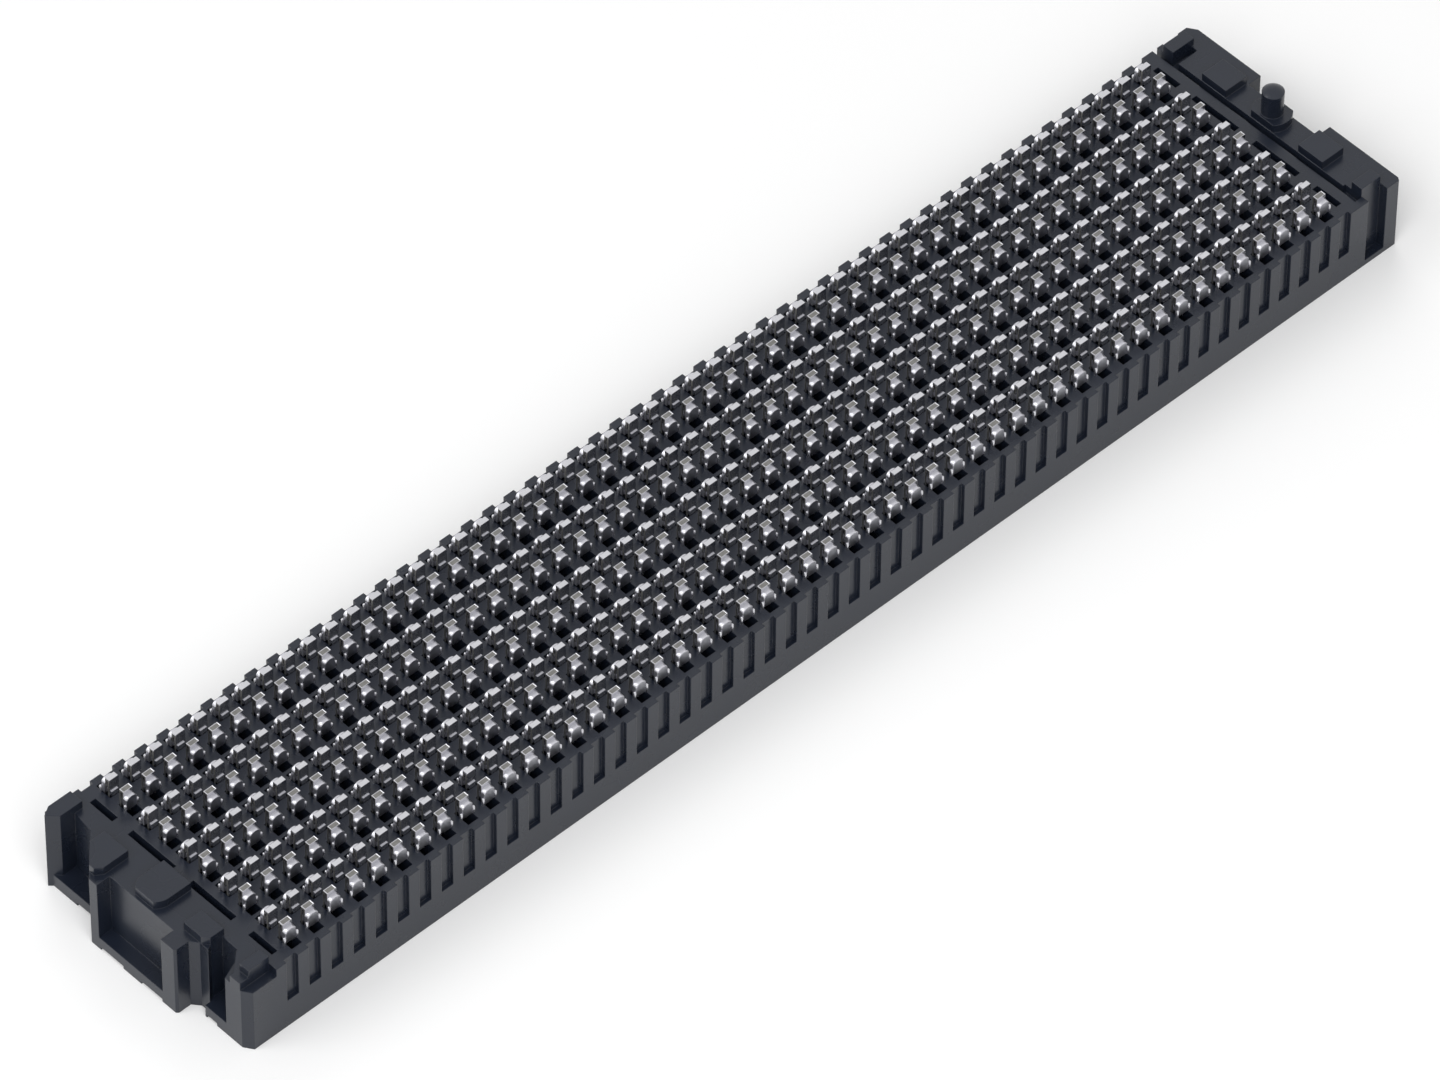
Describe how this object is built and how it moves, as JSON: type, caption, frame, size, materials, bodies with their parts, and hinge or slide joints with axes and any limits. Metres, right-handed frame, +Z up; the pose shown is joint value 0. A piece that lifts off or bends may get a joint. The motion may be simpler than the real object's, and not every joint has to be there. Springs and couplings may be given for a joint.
{
  "type": "board-to-board connector",
  "caption": "Long, low board-to-board connector: a moulded housing with a dense grid of folded contact tails and solder charges on top, stand-off pads and a round locating peg at one end.",
  "frame": {"origin": "middle of the mating face, on the flat face that the connector rests on", "axes": "+X along the rows of contacts towards the end with the locating peg, +Y across the width, +Z up, towards the circuit board that the connector is soldered to"},
  "size_m": [0.0703, 0.0134, 0.006],
  "materials": {
    "housing": "moulded, fine satin",
    "contact": "bright tin plating",
    "solder": "bright solder alloy"
  },
  "bodies": {
    "root": {"housing": "housing", "contact_row_1": "contact", "contact_row_2": "contact", "contact_row_3": "contact", "contact_row_4": "contact", "contact_row_5": "contact", "contact_row_6": "contact", "contact_row_7": "contact", "contact_row_8": "contact", "contact_row_9": "contact", "contact_row_10": "contact", "solder_charge_row_1": "solder", "solder_charge_row_2": "solder", "solder_charge_row_3": "solder", "solder_charge_row_4": "solder", "solder_charge_row_5": "solder", "solder_charge_row_6": "solder", "solder_charge_row_7": "solder", "solder_charge_row_8": "solder", "solder_charge_row_9": "solder", "solder_charge_row_10": "solder"}
  },
  "joints": []
}
